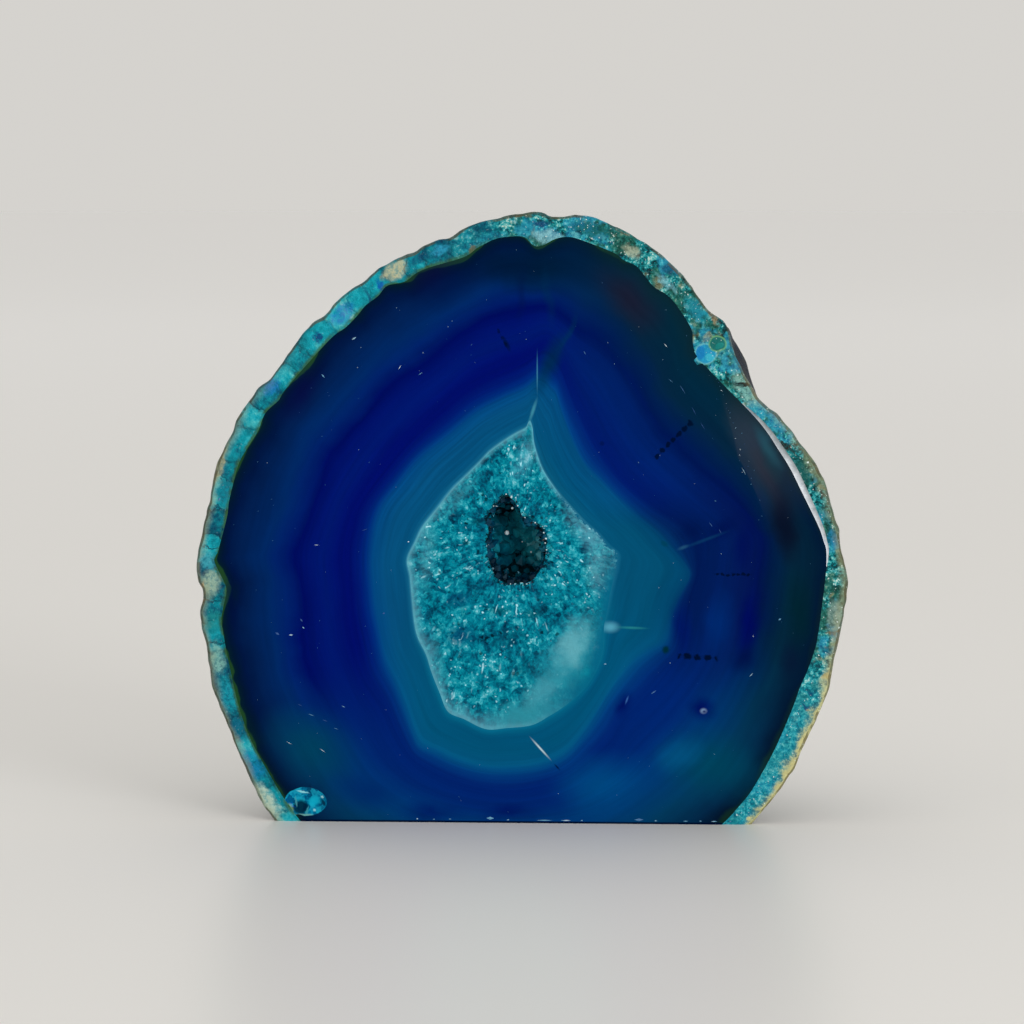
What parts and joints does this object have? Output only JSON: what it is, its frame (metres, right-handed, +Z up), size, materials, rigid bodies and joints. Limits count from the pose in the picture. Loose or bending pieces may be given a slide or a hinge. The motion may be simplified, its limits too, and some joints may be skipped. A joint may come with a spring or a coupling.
{
  "type": "agate",
  "caption": "Dyed blue banded agate end piece with a polished front, a crystal-lined hollow, a natural domed back and a sawn base to stand on.",
  "frame": {"origin": "centre of the sawn flat base, on the surface the stone stands on", "axes": "+Z up, -Y out of the polished face, +X to the right as seen from the front"},
  "size_m": [0.1045, 0.0459, 0.0983],
  "materials": {
    "agate": "dyed banded agate, polished front, rough natural rind and back",
    "hollow_crystals": "glossy dyed quartz points"
  },
  "bodies": {
    "root": {"agate": "agate", "hollow_crystals": "hollow_crystals"}
  },
  "joints": []
}
